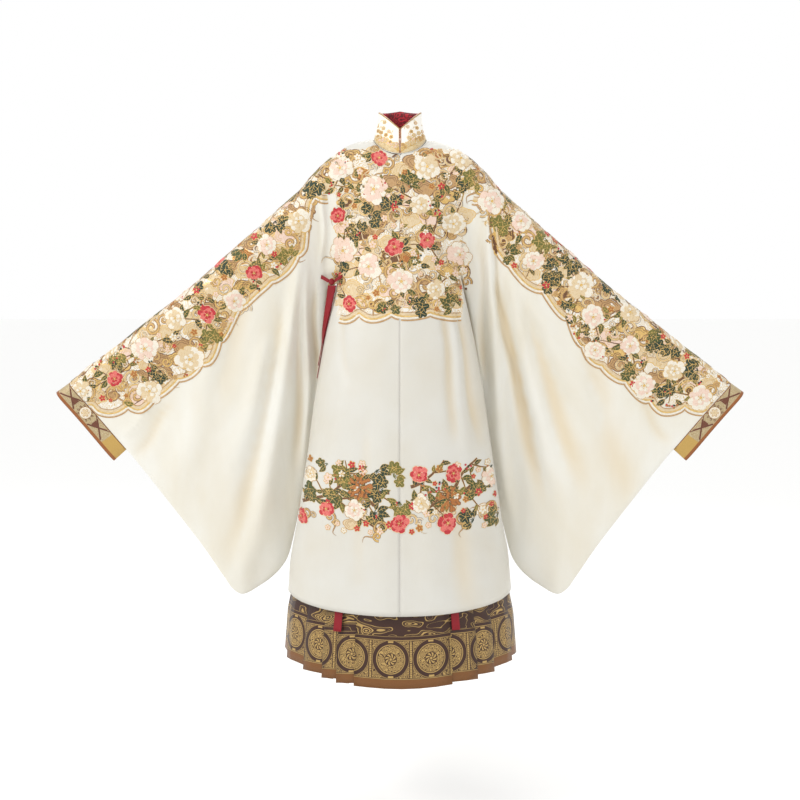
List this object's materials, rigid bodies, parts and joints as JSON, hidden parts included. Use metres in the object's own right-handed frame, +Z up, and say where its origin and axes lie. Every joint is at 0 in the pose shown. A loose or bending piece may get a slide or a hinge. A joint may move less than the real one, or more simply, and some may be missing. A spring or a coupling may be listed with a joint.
{
  "type": "hanfu robe and pleated skirt set",
  "caption": "Long stand-collar robe with huge hanging sleeves and a side tie, filled out as if worn over a wrapped pleated skirt.",
  "frame": {"origin": "middle of the neck at shoulder height, where the wearer's shoulders carry the robe", "axes": "+X towards the wearer's left along the sleeves, +Y from the front to the back, +Z up"},
  "size_m": [1.674, 0.425, 1.3601],
  "materials": {
    "ivory_satin": "silk satin, soft sheen",
    "gold_brocade": "woven brocade",
    "red_silk": "plain silk, low sheen",
    "brown_gold_brocade": "woven brocade, low sheen"
  },
  "bodies": {
    "root": {"robe_body_left": "ivory_satin", "robe_body_right": "ivory_satin", "robe_lapel_right": "ivory_satin", "robe_sleeve_left": "ivory_satin", "robe_sleeve_right": "ivory_satin", "robe_cuff_left": "gold_brocade", "robe_cuff_right": "gold_brocade", "robe_collar": "ivory_satin", "robe_collar_lining": "red_silk", "robe_tie_knot": "red_silk", "robe_tie_strand_front": "red_silk", "robe_tie_strand_back": "red_silk", "robe_tie_end_long": "red_silk", "robe_tie_end_short": "red_silk", "skirt_wrap_front": "brown_gold_brocade", "skirt_wrap_back": "brown_gold_brocade", "skirt_waistband": "red_silk", "skirt_ribbon_left": "red_silk", "skirt_ribbon_right": "red_silk"}
  },
  "joints": []
}
